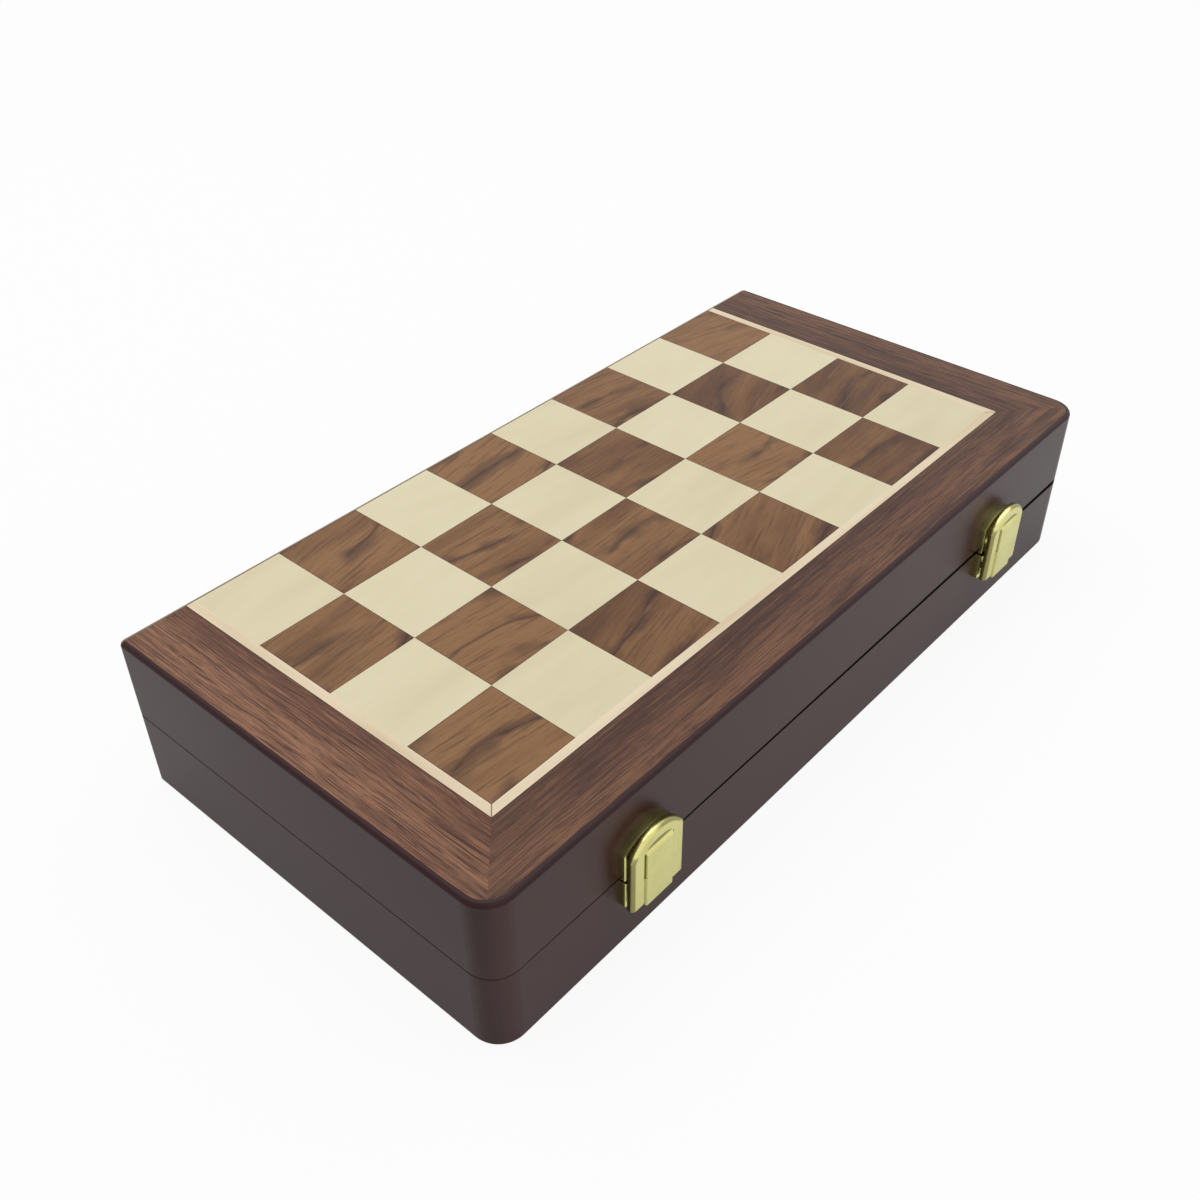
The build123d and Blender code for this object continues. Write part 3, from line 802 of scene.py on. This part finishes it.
@dataclass
class CaseHalf:
    """The walls, dividers and cloth of one half."""

    half: Half
    nap_mm: float = 0.12
    columns: int = 240
    rows: int = 112

    def build(self) -> None:
        """Dresses the walls and dividers, and lays the cloth."""
        prefix = self.half.value
        low, high = box_mm(f"{prefix}_front_wall")
        back_low, _ = box_mm(f"{prefix}_back_wall")
        left_low, left_high = box_mm(f"{prefix}_left_wall")
        inner_x = float(left_high[0])
        seam = float(high[2] if self.half is Half.BASE else low[2])
        face = float(low[2] if self.half is Half.BASE else high[2])
        _, field_high = box_mm(f"{prefix}_light_squares")
        lacquer = Lacquer(f"{prefix}_lacquer", (inner_x, float(high[1])), (-inner_x, float(back_low[1])),
                          -float(left_low[0]), seam, face, float(field_high[1]))
        dress([f"{prefix}_{side}_wall" for side in ("front", "back", "left", "right")], lacquer.material())
        for name, grain in (("long_divider", Grain.ALONG_X), ("bay_dividers", Grain.ALONG_Y)):
            stain = PlainVeneer(f"{prefix}_{name}_stain", STAINED, grain, figure=0.8, roughness=0.5)
            dress([f"{prefix}_{name}"], stain.material())
        self.lay_cloth()

    def lay_cloth(self) -> bpy.types.Object:
        """Lays the felt on the floor of the half.

        The sheet is a grid over the floor. Its height is a small sum of slow waves in X and Y, so that
        it lies as pressed cloth does, and its thickness comes from a Solidify modifier.

        Returns:
            The cloth.
        """
        prefix = self.half.value
        low, high = (np.array(corner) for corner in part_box(f"{prefix}_lining"))
        up = 1.0 if self.half is Half.BASE else -1.0
        thickness = high[2] - low[2] - self.nap_mm * MM
        floor = low[2] if self.half is Half.BASE else high[2]
        u, v = np.meshgrid(np.linspace(0, 1, self.columns), np.linspace(0, 1, self.rows), indexing="ij")
        x, y = low[0] + u * (high[0] - low[0]), low[1] + v * (high[1] - low[1])
        waves = np.sin(9.0 * u + 2.1) * np.sin(5.0 * v + 0.6) + 0.5 * np.sin(23.0 * u + 11.0 * v)
        z = floor + up * (thickness + self.nap_mm * MM * (0.5 + waves / 3))
        points = np.stack([x, y, z], axis=-1).reshape(-1, 3)
        number = np.arange(points.shape[0]).reshape(self.columns, self.rows)
        quads = np.stack([number[:-1, :-1], number[1:, :-1], number[1:, 1:], number[:-1, 1:]], axis=-1)
        if up < 0:
            quads = quads[..., ::-1]
        cloth = new_piece(f"{prefix}_felt", points, quads.reshape(-1, 4).tolist(), prefix,
                          Felt(f"{prefix}_felt_nap").material())
        thick = cloth.modifiers.new("thickness", "SOLIDIFY")
        thick.thickness, thick.offset = thickness, -1.0
        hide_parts(f"{prefix}_lining")
        return cloth


@dataclass
class Hardware:
    """The hinges, their pins and every screw."""

    gilt: bpy.types.Material

    def build(self) -> None:
        """Dresses the hinges and the screws."""
        brass = Metal("hinge_brass", srgb(214, 184, 106), srgb(178, 146, 78), 0.34).material()
        for side in ("left", "right"):
            dress([f"{half.value}_{side}_hinge_leaf" for half in Half] + [f"{side}_hinge_pin"], brass)
        dress([f"{half.value}_hinge_screws" for half in Half], brass)
        dress(["strike_plate_screws", "latch_plate_screws"], self.gilt)


@dataclass(frozen=True)
class Outline:
    """The lever's outline in millimetres: straight sides under one arc of a radius round a centre."""

    half: float
    foot: float
    radius: float
    centre: float

    def distance(self, reach: np.ndarray, height: np.ndarray, inset: float = 0.0) -> np.ndarray:
        """How far places lie inside the sides and the arc, both drawn in by the inset."""
        below = self.radius - inset - np.hypot(reach, np.maximum(height - self.centre, 0.0))
        return np.minimum(self.half - inset - reach, below)

    def arc(self, reach: np.ndarray, inset: np.ndarray | float = 0.0) -> np.ndarray:
        """How high the arc lies, drawn in by the inset."""
        return self.centre + np.sqrt((self.radius - inset) ** 2 - reach ** 2)


@dataclass
class Latch:
    """One sprung case latch: its two plates, lever, pin and spring.

    The lever is a new mesh, worked out in millimetres from the wall's face and the seam. Y is
    negative away from the wall. The row counts are the rows of faces between the heights that the
    face's rows are tied to, from its foot to its arch.
    """

    side: str
    gilt: bpy.types.Material
    steel: bpy.types.Material
    sheet: float = 0.9
    rounding: float = 0.2
    side_rise: float = 9.55
    bend: float = 1.2
    rim_back: float = 3.25
    panel_half: float = 5.5
    panel_raise: float = 0.5
    panel_top: float = 10.2
    panel_bevel: float = 0.85
    panel_side: float = 0.22
    side_foot: float = -9.4
    foot_step: float = 0.06
    dish_rise: float = 12.3
    dish_side_rise: float = 10.6
    dish_depth: float = 0.35
    slit_depth: float = 0.42
    slit_width: float = 0.24
    slit_gap: float = 0.12
    split_height: float = 0.5
    split_depth: float = 0.12
    split_width: float = 0.08
    hole_radius: float = 0.32
    pin_offset: float = 3.15
    pin_height: float = -8.9
    curl_radius: float = 1.45
    curl_sheet: float = 0.65
    curl_from: float = 2.7
    curl_to: float = 5.4
    curl_rounding: float = 0.1
    nose_half: float = 4.5
    nose_tip: float = -3.7
    nose_span: tuple[float, float] = (5.2, 6.2)
    nose_rounding: float = 0.18
    overlap: float = 0.3
    row_counts: tuple[int, ...] = (5, 6, 12, 14, 14, 16, 16, 8)
    # Painted shade: the rim is painted dark as a dark reflection, and the lever's inner faces, curls and nose
    # are painted dark as shade.
    rim_shade: float = 0.62
    inside_shade: float = 0.15

    def build(self) -> None:
        """Dresses the plates, the pin and the spring, and makes the lever."""
        dress([f"{self.side}_strike_plate", f"{self.side}_latch_plate"], self.gilt)
        dress([f"{self.side}_latch_pin", f"{self.side}_latch_spring"], self.steel)
        self.make_lever()

    def make_lever(self) -> bpy.types.Object:
        """Makes the pressed lever from its face, its two curls and its nose.

        Returns:
            The lever.
        """
        node = f"{self.side}_latch_lever"
        low, high = box_mm(node)
        wall_low, wall_high = box_mm("base_front_wall")
        middle = (low[0] + high[0]) / 2
        origin = np.array([middle, wall_low[1], wall_high[2]])
        outer = float(wall_low[1] - low[1]) - self.panel_raise
        foot, top = float(low[2] - wall_high[2]), float(high[2] - wall_high[2])
        front, front_faces, shade = self.face(float(high[0] - middle), outer, foot, top)
        shells = [(front, front_faces)]
        shells += [self.curl(sign, outer - self.sheet) for sign in (-1.0, 1.0)]
        shells.append(self.nose(outer - self.sheet))
        points, faces = joined_shells(shells)
        lever = new_piece(f"{self.side}_pressed_lever", (points + origin) * MM, faces.tolist(),
                          f"{self.side}_latch", self.gilt)
        smooth(lever)
        # Painted shade at every point: the curls and the nose are shaded as the lever's inner faces, and the
        # face carries its own.
        painted_shade = np.full(len(points), self.inside_shade)
        painted_shade[:len(front)] = shade
        layer = lever.data.attributes.new("painted_shade", "FLOAT", "POINT")
        layer.data.foreach_set("value", painted_shade.astype(np.float32))
        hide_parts(node)
        return lever

    def face(self, half: float, outer: float, foot: float,
             top: float) -> tuple[np.ndarray, np.ndarray, np.ndarray]:
        """Works out the lever's face with its tongue, and the rim bent back from its sides and arch.

        The outline has straight sides and one arc on top. The front is a grid that stands out by the
        pressed relief and turns back near the outline. A loop of points along the sides and the top of
        front and back is joined by rings: back along the outside of the rim, round its edge and
        forward along the inside. A row of faces closes the foot.

        Args:
            half: Half of the lever's width.
            outer: How far the face stands off the wall.
            foot: The tongue's lower edge.
            top: The arch's highest point.

        Returns:
            The points, the faces and the shade painted at each point, from 0 to 1.
        """
        outline = Outline(half, foot, *arc_over(half, top - self.side_rise, top))
        wide, height, bottom = self.grid(outline)
        from_edge = outline.distance(np.abs(wide), height)
        raised, painted_shade = self.relief(np.abs(wide), height)
        off_wall = (outer + raised - bent_back(from_edge, self.bend)
                    - bent_back(height - bottom, self.rounding))
        front = np.stack([wide, -off_wall, height], axis=-1)
        # The bend's painted shade joins that of the grooves.
        painted_shade = np.maximum(painted_shade, self.bend_shade(wide, height, from_edge))
        points, faces = self.rimmed(front, self.inner_face(outline, wide, height, bottom, outer))
        # Painted shade: the rim as a dark reflection, the back of the face as shade.
        shade = np.full(len(points), self.rim_shade)
        shade[:painted_shade.size] = painted_shade.reshape(-1)
        shade[painted_shade.size:2 * painted_shade.size] = self.inside_shade
        return points, outward(points, faces), shade

    def grid(self, outline: Outline) -> tuple[np.ndarray, np.ndarray, np.ndarray]:
        """Works out the grid of the lever's face.

        Each column's rows are spread evenly between set heights: its foot, the panel's split, the
        panel's top and the dish. The last rows follow the arc and crowd towards it as the sine of a
        quarter turn does, and the columns crowd towards the sides in the same way.

        Args:
            outline: The lever's outline.

        Returns:
            Each point's place across and its height, columns by rows, and each column's foot.
        """
        crowd = self.bend * (1 - np.sin(np.linspace(0.0, math.pi / 2, 10)))
        flat = runs((0.0, 14), (self.panel_half - 0.6, 26), (self.panel_half + 0.5, 12),
                    end=outline.half - self.bend)
        right = np.concatenate([flat[:-1], outline.half - crowd])
        x = np.concatenate([-right[:0:-1], right])
        reach = np.abs(x)[:, None]
        on_side = eased((reach - self.panel_half) / self.foot_step)
        bottom = outline.foot + (self.side_foot - outline.foot) * on_side
        near_arc = outline.arc(reach, crowd)
        head = near_arc[:, :1]
        sides = np.full_like(reach, self.side_foot)
        split = np.full_like(reach, self.split_height)
        knots = np.concatenate([bottom, bottom + self.rounding, sides + 0.6, split - 0.35, split + 0.35,
                                np.minimum(self.panel_top - 1.2, head - 1.2),
                                np.minimum(self.panel_top + 0.4, head - 0.8),
                                np.minimum(self.panel_top + 2.4, head - 0.4), head], axis=1)
        rows = runs(*enumerate(self.row_counts), end=len(self.row_counts))
        lower = np.minimum(rows.astype(int), len(self.row_counts) - 1)
        share = rows - lower
        climb = knots[:, lower] * (1 - share) + knots[:, lower + 1] * share
        height = np.concatenate([climb, near_arc[:, 1:]], axis=1)
        return np.broadcast_to(x[:, None], height.shape), height, bottom

    def bend_shade(self, wide: np.ndarray, height: np.ndarray, from_edge: np.ndarray) -> np.ndarray:
        """Works out the bend's painted shade, a dark reflection along the left side and the arch's right.

        Args:
            wide: Each point's place across.
            height: Its height above the seam.
            from_edge: How far inside the outline it lies.

        Returns:
            The painted shade from 0 to 1.
        """
        on_arch, rightward = eased(height - self.side_rise - 1.0), eased((wide + 2.5) / 4.0)
        # Painted dark reflection: full on the left side and the arch's right half, 0.3 of it on the right
        # side, none on the arch's left.
        dull_and_painted_dark = (1 - on_arch) * (1 - 0.7 * rightward) + on_arch * rightward
        return self.rim_shade * dull_and_painted_dark * eased((self.bend - from_edge) / (0.4 * self.bend))

    def inner_face(self, outline: Outline, wide: np.ndarray, height: np.ndarray, bottom: np.ndarray,
                   outer: float) -> np.ndarray:
        """Works out the back of the face: the front's grid, drawn in by the sheet on all sides.

        Args:
            outline: The lever's outline.
            wide: Each point's place across.
            height: Its height above the seam.
            bottom: Each column's foot.
            outer: How far the face stands off the wall.

        Returns:
            The points, columns by rows by 3.
        """
        across = wide * (outline.half - self.sheet) / outline.half
        head = outline.arc(across[:, -1:], self.sheet)
        up = bottom + (height - bottom) * (head - bottom) / (height[:, -1:] - bottom)
        from_edge = outline.distance(np.abs(across), up, self.sheet)
        off_wall = (outer - self.sheet - bent_back(from_edge, self.bend - self.sheet)
                    + bent_back(height - bottom, self.rounding))
        return np.stack([across, -off_wall, up], axis=-1)

    def rimmed(self, front: np.ndarray, back: np.ndarray) -> tuple[np.ndarray, np.ndarray]:
        """Joins the lever's front and back along the rim and the foot.

        Args:
            front: The front's points, columns by rows by 3.
            back: The back's points, the same way.

        Returns:
            The points, front and back first, and the faces.
        """
        columns, count = front.shape[:2]
        number = np.arange(columns * count).reshape(columns, count)
        loop = np.concatenate([number[0], number[1:, -1], number[-1, -2::-1]])
        turn = np.linspace(0.0, math.pi / 2, 4)
        across = self.rounding * (1 - np.cos(turn)) / self.sheet
        depth = -self.rim_back - self.rounding * (1 - np.sin(turn))
        share = np.concatenate([across, 1 - across[::-1]])[:, None, None]
        outline, inline = front.reshape(-1, 3)[loop], back.reshape(-1, 3)[loop]
        between = outline * (1 - share) + inline * share
        between[..., 1] = np.concatenate([depth, depth[::-1]])[:, None]
        points = np.concatenate([front.reshape(-1, 3), back.reshape(-1, 3), between.reshape(-1, 3)])
        fresh = 2 * number.size + np.arange(between.shape[0] * len(loop)).reshape(between.shape[:2])
        rings = np.concatenate([loop[None], fresh, loop[None] + number.size])
        sheets = np.stack([number[:-1, :-1], number[1:, :-1], number[1:, 1:], number[:-1, 1:]], axis=-1)
        sheets = sheets.reshape(-1, 4)
        walls = np.stack([rings[:-1, :-1], rings[:-1, 1:], rings[1:, 1:], rings[1:, :-1]], axis=-1)
        low = number[:, 0]
        foot = np.stack([low[1:], low[:-1], low[:-1] + number.size, low[1:] + number.size], axis=-1)
        pairs = np.stack([rings[:4], rings[1:5], rings[-2:-6:-1], rings[:-5:-1]], axis=-1)
        faces = [sheets, sheets[:, ::-1] + number.size, walls.reshape(-1, 4), foot, pairs[:, 0],
                 pairs[:, -1, ::-1]]
        return points, np.concatenate(faces)

    def relief(self, reach: np.ndarray, height: np.ndarray) -> tuple[np.ndarray, np.ndarray]:
        """Works out the pressed shape of the face.

        The panel stands out by the smaller of a steep climb at its sides and a bevel at its top, less
        a slit along each side, a small round hole at the slit's foot and a hair line across. A shallow
        dish lies between the panel's top and an arc above it.

        Args:
            reach: The distance from the lever's middle line.
            height: The height above the seam.

        Returns:
            How far the front stands out, and the shade painted in its grooves and dish, from 0 to 1.
        """
        sides = np.clip((self.panel_half - reach) / self.panel_side, 0.0, 1.0)
        bevel = np.clip((self.panel_top - height) / self.panel_bevel, 0.0, 1.0)
        panel = self.panel_raise * np.minimum(sides, bevel)
        off_slit = reach - self.panel_half - self.slit_gap
        upper = eased((height - self.split_height) / 0.2) * eased((self.panel_top - height) / 0.3)
        lower = 0.4 * eased((self.split_height - height) / 0.2)
        slit = np.exp(-(off_slit / self.slit_width) ** 2) * (upper + lower)
        off_hole = np.hypot(off_slit, height - self.split_height) / self.hole_radius
        hole = 1.2 * np.exp(-off_hole ** 4)
        off_split = (height - self.split_height) / self.split_width
        split = np.exp(-off_split ** 2) * (reach < self.panel_half)
        groove = np.maximum(slit, hole)
        arc, centre = arc_over(self.panel_half, self.dish_rise - self.dish_side_rise, self.dish_rise)
        dish = eased((arc - np.hypot(reach, height - centre)) / 0.3) * eased((height - self.panel_top) / 0.3)
        dish *= eased((self.panel_half + 0.1 - reach) / 0.4)
        # Painted shade: dark in the slits and the hole, less in the hair line and the dish.
        dark = np.maximum(groove, 0.6 * np.maximum(split, dish))
        out = panel - self.slit_depth * groove - self.split_depth * split - self.dish_depth * dish
        return out, np.clip(dark, 0.0, 1.0)

    def curl(self, sign: float, inner: float) -> tuple[np.ndarray, np.ndarray]:
        """Works out one curl: a strip that runs back from the face and rolls round the pin.

        Its outer line is straight above the pin, then an arc of the curl's radius through 290 degrees.

        Args:
            sign: Minus one for the left curl, one for the right.
            inner: How far the back of the face stands off the wall.

        Returns:
            The points and the faces.
        """
        x = np.sort(sign * runs((self.curl_from, 3), (self.curl_from + 0.15, 4), (self.curl_to - 0.15, 3),
                                end=self.curl_to))
        back = np.linspace(-inner - self.overlap, -self.pin_offset, 8, endpoint=False)
        flat = np.stack([back, np.full_like(back, self.pin_height + self.curl_radius)], axis=-1)
        turn = np.radians(np.linspace(90.0, -200.0, 60))
        roll = np.stack([-self.pin_offset + self.curl_radius * np.cos(turn),
                         self.pin_height + self.curl_radius * np.sin(turn)], axis=-1)
        line = np.concatenate([flat, roll])
        return pressed_strip(x, line, self.curl_sheet, self.curl_rounding)

    def nose(self, inner: float) -> tuple[np.ndarray, np.ndarray]:
        """Works out the nose: a flat tab behind the face that catches the strike plate's hook."""
        x = runs((-self.nose_half, 4), (-self.nose_half + 0.2, 6), (self.nose_half - 0.2, 4),
                 end=self.nose_half)
        low, high = self.nose_span
        y = runs((-inner - self.overlap, 5), (self.nose_tip - 0.2, 5), end=self.nose_tip)
        line = np.stack([y, np.full_like(y, high)], axis=-1)
        return pressed_strip(x, line, high - low, self.nose_rounding)


@dataclass(frozen=True)
class Lamp:
    """A square soft lamp that points at the object, with its power in watts."""

    name: str
    place: tuple[float, float, float]
    size: float
    power: float

    def hang(self) -> None:
        """Hangs the lamp."""
        data = bpy.data.lights.new(self.name, "AREA")
        data.size, data.energy = self.size, self.power
        lamp = bpy.data.objects.new(self.name, data)
        lamp.location = self.place
        lamp.rotation_euler = (-Vector(self.place)).to_track_quat("-Z", "Y").to_euler()
        bpy.context.scene.collection.objects.link(lamp)


@dataclass
class Studio:
    """The floor, the light and the camera."""

    lamps: tuple[Lamp, ...] = (Lamp("key_lamp", (-0.2, 0.6, 1.5), 1.1, 10.6),
                               Lamp("fill_lamp", (0.9, -0.3, 1.5), 1.4, 5.5))
    camera_place: tuple[float, float, float] = (-0.2743, -0.22015, 0.3013)
    camera_forward: tuple[float, float, float] = (0.58243, 0.52134, -0.62368)
    camera_right: tuple[float, float, float] = (0.66053, -0.75073, -0.01070)
    frame_pixels: int = 1200
    focal_pixels: float = 1326.4
    sensor_mm: float = 36.0
    floor_reach: float = 6.0
    floor_lift: float = 0.00005
    floor_colour: Colour = (0.82, 0.82, 0.82, 1.0)
    floor_glow: float = 0.92
    mirrored_glow: float = 0.4
    ambient: float = 0.53

    def build(self) -> None:
        """Sets up the studio."""
        self.add_camera()
        self.add_floor()
        self.add_world()
        for lamp in self.lamps:
            lamp.hang()
        bpy.context.scene.view_settings.view_transform = "Standard"

    def add_camera(self) -> None:
        """Stands the camera where the photograph was taken, with the photograph's lens."""
        data = bpy.data.cameras.new("camera")
        data.sensor_width = self.sensor_mm
        data.lens = self.sensor_mm * self.focal_pixels / self.frame_pixels
        data.clip_start, data.clip_end = 0.01, 100.0
        camera = bpy.data.objects.new("camera", data)
        bpy.context.scene.collection.objects.link(camera)
        forward = Vector(self.camera_forward).normalized()
        right = Vector(self.camera_right)
        right = (right - forward * right.dot(forward)).normalized()
        up = right.cross(forward)
        turn = Matrix((right, up, -forward)).transposed().to_4x4()
        camera.matrix_world = Matrix.Translation(Vector(self.camera_place)) @ turn
        bpy.context.scene.camera = camera

    def add_floor(self) -> None:
        """Lays a pale floor that shows the camera a white ground and keeps the soft shadow.

        It lies a hair above the case's underside, so the two faces aren't in one plane and the
        underside shows from below.
        """
        g = Graph(bpy.data.materials.new("studio_floor"))
        light = g.node("LightPath", {}).outputs
        mirrored = g.math("MAXIMUM", light["Is Glossy Ray"], light["Is Transmission Ray"])
        matt = g.node("BsdfDiffuse", {"Color": self.floor_colour}).outputs[0]
        glow = g.node("Emission", {"Color": (1, 1, 1, 1), "Strength": 1.0}).outputs[0]
        share = g.math("MAXIMUM", g.math("MULTIPLY", light["Is Camera Ray"], self.floor_glow),
                       g.math("MULTIPLY", mirrored, self.mirrored_glow))
        both = g.node("MixShader", {0: share, 1: matt, 2: glow}).outputs[0]
        g.node("OutputMaterial", {"Surface": both})
        reach, lift = self.floor_reach, self.floor_lift
        mesh = bpy.data.meshes.new("floor")
        corners = [(-reach, -reach, lift), (reach, -reach, lift), (reach, reach, lift), (-reach, reach, lift)]
        mesh.from_pydata(corners, [], [(0, 1, 2, 3)])
        mesh.materials.append(g.owner)
        floor = bpy.data.objects.new("floor", mesh)
        bpy.context.scene.collection.objects.link(floor)

    def add_world(self) -> None:
        """Surrounds the scene with even light that reads as white where it is seen."""
        g = Graph(bpy.data.worlds.new("studio"))
        light = g.node("LightPath", {}).outputs
        mirrored = g.math("MAXIMUM", light["Is Glossy Ray"], light["Is Transmission Ray"])
        seen = g.math("MAXIMUM", light["Is Camera Ray"], mirrored)
        strength = g.math("MULTIPLY_ADD", seen, 1.0 - self.ambient, self.ambient)
        background = g.node("Background", {"Color": (1, 1, 1, 1), "Strength": strength}).outputs[0]
        g.node("OutputWorld", {"Surface": background})
        bpy.context.scene.world = g.owner


def main() -> None:
    """Builds every sub-assembly in order, then the studio around them."""
    logging.basicConfig(level=logging.INFO, format="%(message)s")
    wall_low, _ = box_mm("base_front_wall")
    gilt = Metal("gilt_brass", srgb(232, 227, 150), srgb(214, 208, 130), 0.24,
                 wall_mm=float(wall_low[1])).material()
    steel = Metal("spring_steel", srgb(176, 176, 172), srgb(140, 140, 138), 0.3).material()
    for half in Half:
        PlayingDeck(half).build()
        CaseHalf(half).build()
    Hardware(gilt).build()
    for side in ("left", "right"):
        Latch(side, gilt, steel).build()
    Studio().build()


if __name__ == "__main__":
    main()
